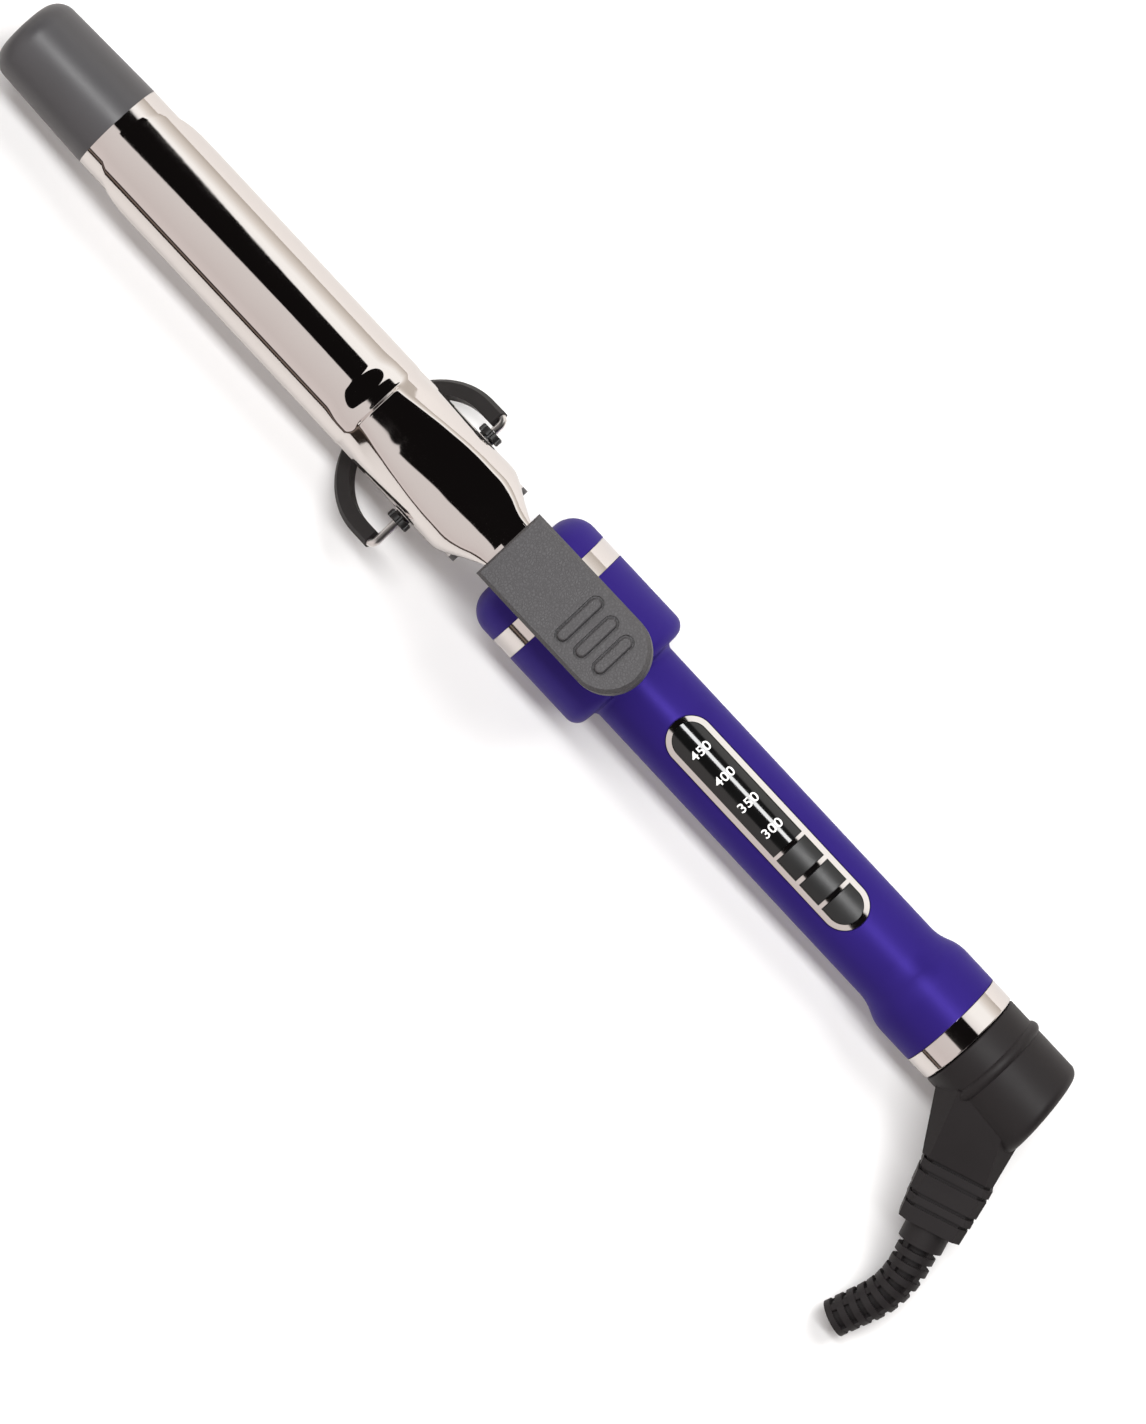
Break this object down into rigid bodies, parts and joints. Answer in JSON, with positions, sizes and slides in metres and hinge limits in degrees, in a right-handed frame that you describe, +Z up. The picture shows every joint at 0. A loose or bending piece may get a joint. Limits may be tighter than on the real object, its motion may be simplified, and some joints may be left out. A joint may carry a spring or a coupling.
{
  "type": "curling iron",
  "caption": "Clamp curling iron with a chromed barrel, sprung spoon, folding stand, purple handle with a key panel and a side-facing swivel cord outlet.",
  "frame": {"origin": "middle of the bottom of the whole object as it stands on its stand and handle shoulder", "axes": "+X from the cool tip to the cord end, along the barrel; +Y to the side away from the cord outlet; +Z up through the clamp"},
  "size_m": [0.3812, 0.0964, 0.0578],
  "materials": {
    "cap_grey": "fine spark-eroded satin, heat-proof plastic",
    "pad_grey": "moulded leather-like grain",
    "barrel_chrome": "polished plating",
    "clamp_chrome": "polished plating on pressed sheet",
    "trim_chrome": "bright plated trim",
    "handle_purple": "soft-touch lacquer",
    "window_black": "polished",
    "button_black": "satin",
    "elbow_rubber": "matt moulded",
    "relief_rubber": "matt moulded",
    "strap_black": "satin moulded",
    "wire_chrome": "bright plated wire",
    "bushing_black": "semi-gloss",
    "neck_resin": "heat-proof glass-filled resin",
    "inner_resin": "natural resin",
    "screw_steel": "zinc plated",
    "spring_steel": "tempered",
    "spreader_aluminium": "as extruded",
    "heater_ceramic": "fired, unglazed",
    "contact_brass": "bright",
    "sensor_glass": "glass bead",
    "board_green": "solder mask",
    "switch_black": "satin",
    "scale_white": "white, glossy",
    "lead_sleeve": "silicone sleeve"
  },
  "bodies": {
    "handle": {"cool_tip": "cap_grey", "tip_disc": "screw_steel", "tip_screw": "screw_steel", "barrel_tube": "barrel_chrome", "barrel_screws": "screw_steel", "barrel_neck": "neck_resin", "heat_spreader_upper": "spreader_aluminium", "heat_spreader_lower": "spreader_aluminium", "ceramic_heater": "heater_ceramic", "heater_terminals": "contact_brass", "temperature_sensor": "sensor_glass", "thermal_fuse": "screw_steel", "pivot_bushings": "bushing_black", "handle_nose": "handle_purple", "shoulder_band": "trim_chrome", "handle_upper_shell": "handle_purple", "handle_lower_shell": "handle_purple", "shell_screws": "screw_steel", "control_bezel": "trim_chrome", "display_lens": "window_black", "indicator_leds": "scale_white", "circuit_board": "board_green", "board_screws": "screw_steel", "tact_switches": "switch_black", "power_leads": "lead_sleeve", "heater_leads": "lead_sleeve", "end_band": "trim_chrome", "end_bearing": "inner_resin", "brush_holder": "inner_resin", "brush_contacts": "contact_brass"},
    "clamp": {"clamp_spoon": "clamp_chrome", "thumb_pad": "pad_grey", "pad_screws": "screw_steel", "clamp_spring": "spring_steel"},
    "stand": {"stand_wire": "wire_chrome", "stand_strap": "strap_black"},
    "swivel": {"cord_elbow": "elbow_rubber", "strain_relief": "relief_rubber", "swivel_spindle": "inner_resin", "slip_rings": "contact_brass"},
    "up_key": {"button_up": "button_black"},
    "down_key": {"button_down": "button_black"},
    "power_key": {"button_power": "button_black"}
  },
  "joints": [
    {"name": "clamp_hinge", "type": "hinge", "parent": "handle", "child": "clamp", "pos_m": [-0.03855, 0.02619, 0.0187], "axis": [0, 1, 0], "range_deg": [0, 12], "stiffness_Nm_per_rad": 1.5, "springref_deg": -14.32, "deforming": ["clamp_spring"]},
    {"name": "stand_fold", "type": "hinge", "parent": "handle", "child": "stand", "pos_m": [-0.03855, 0.02619, 0.0187], "axis": [0, 1, 0], "range_deg": [-95, 0]},
    {"name": "cord_swivel", "type": "hinge", "parent": "handle", "child": "swivel", "pos_m": [0.15145, 0.02619, 0.0187], "axis": [1, 0, 0], "continuous": true},
    {"name": "up_key_press", "type": "slide", "parent": "handle", "child": "up_key", "axis": [0, 0, -1], "range_m": [0, 0.0005], "stiffness_N_per_m": 600, "springref_m": -0.0008},
    {"name": "down_key_press", "type": "slide", "parent": "handle", "child": "down_key", "axis": [0, 0, -1], "range_m": [0, 0.0005], "stiffness_N_per_m": 600, "springref_m": -0.0008},
    {"name": "power_key_press", "type": "slide", "parent": "handle", "child": "power_key", "axis": [0, 0, -1], "range_m": [0, 0.0005], "stiffness_N_per_m": 600, "springref_m": -0.0008}
  ]
}
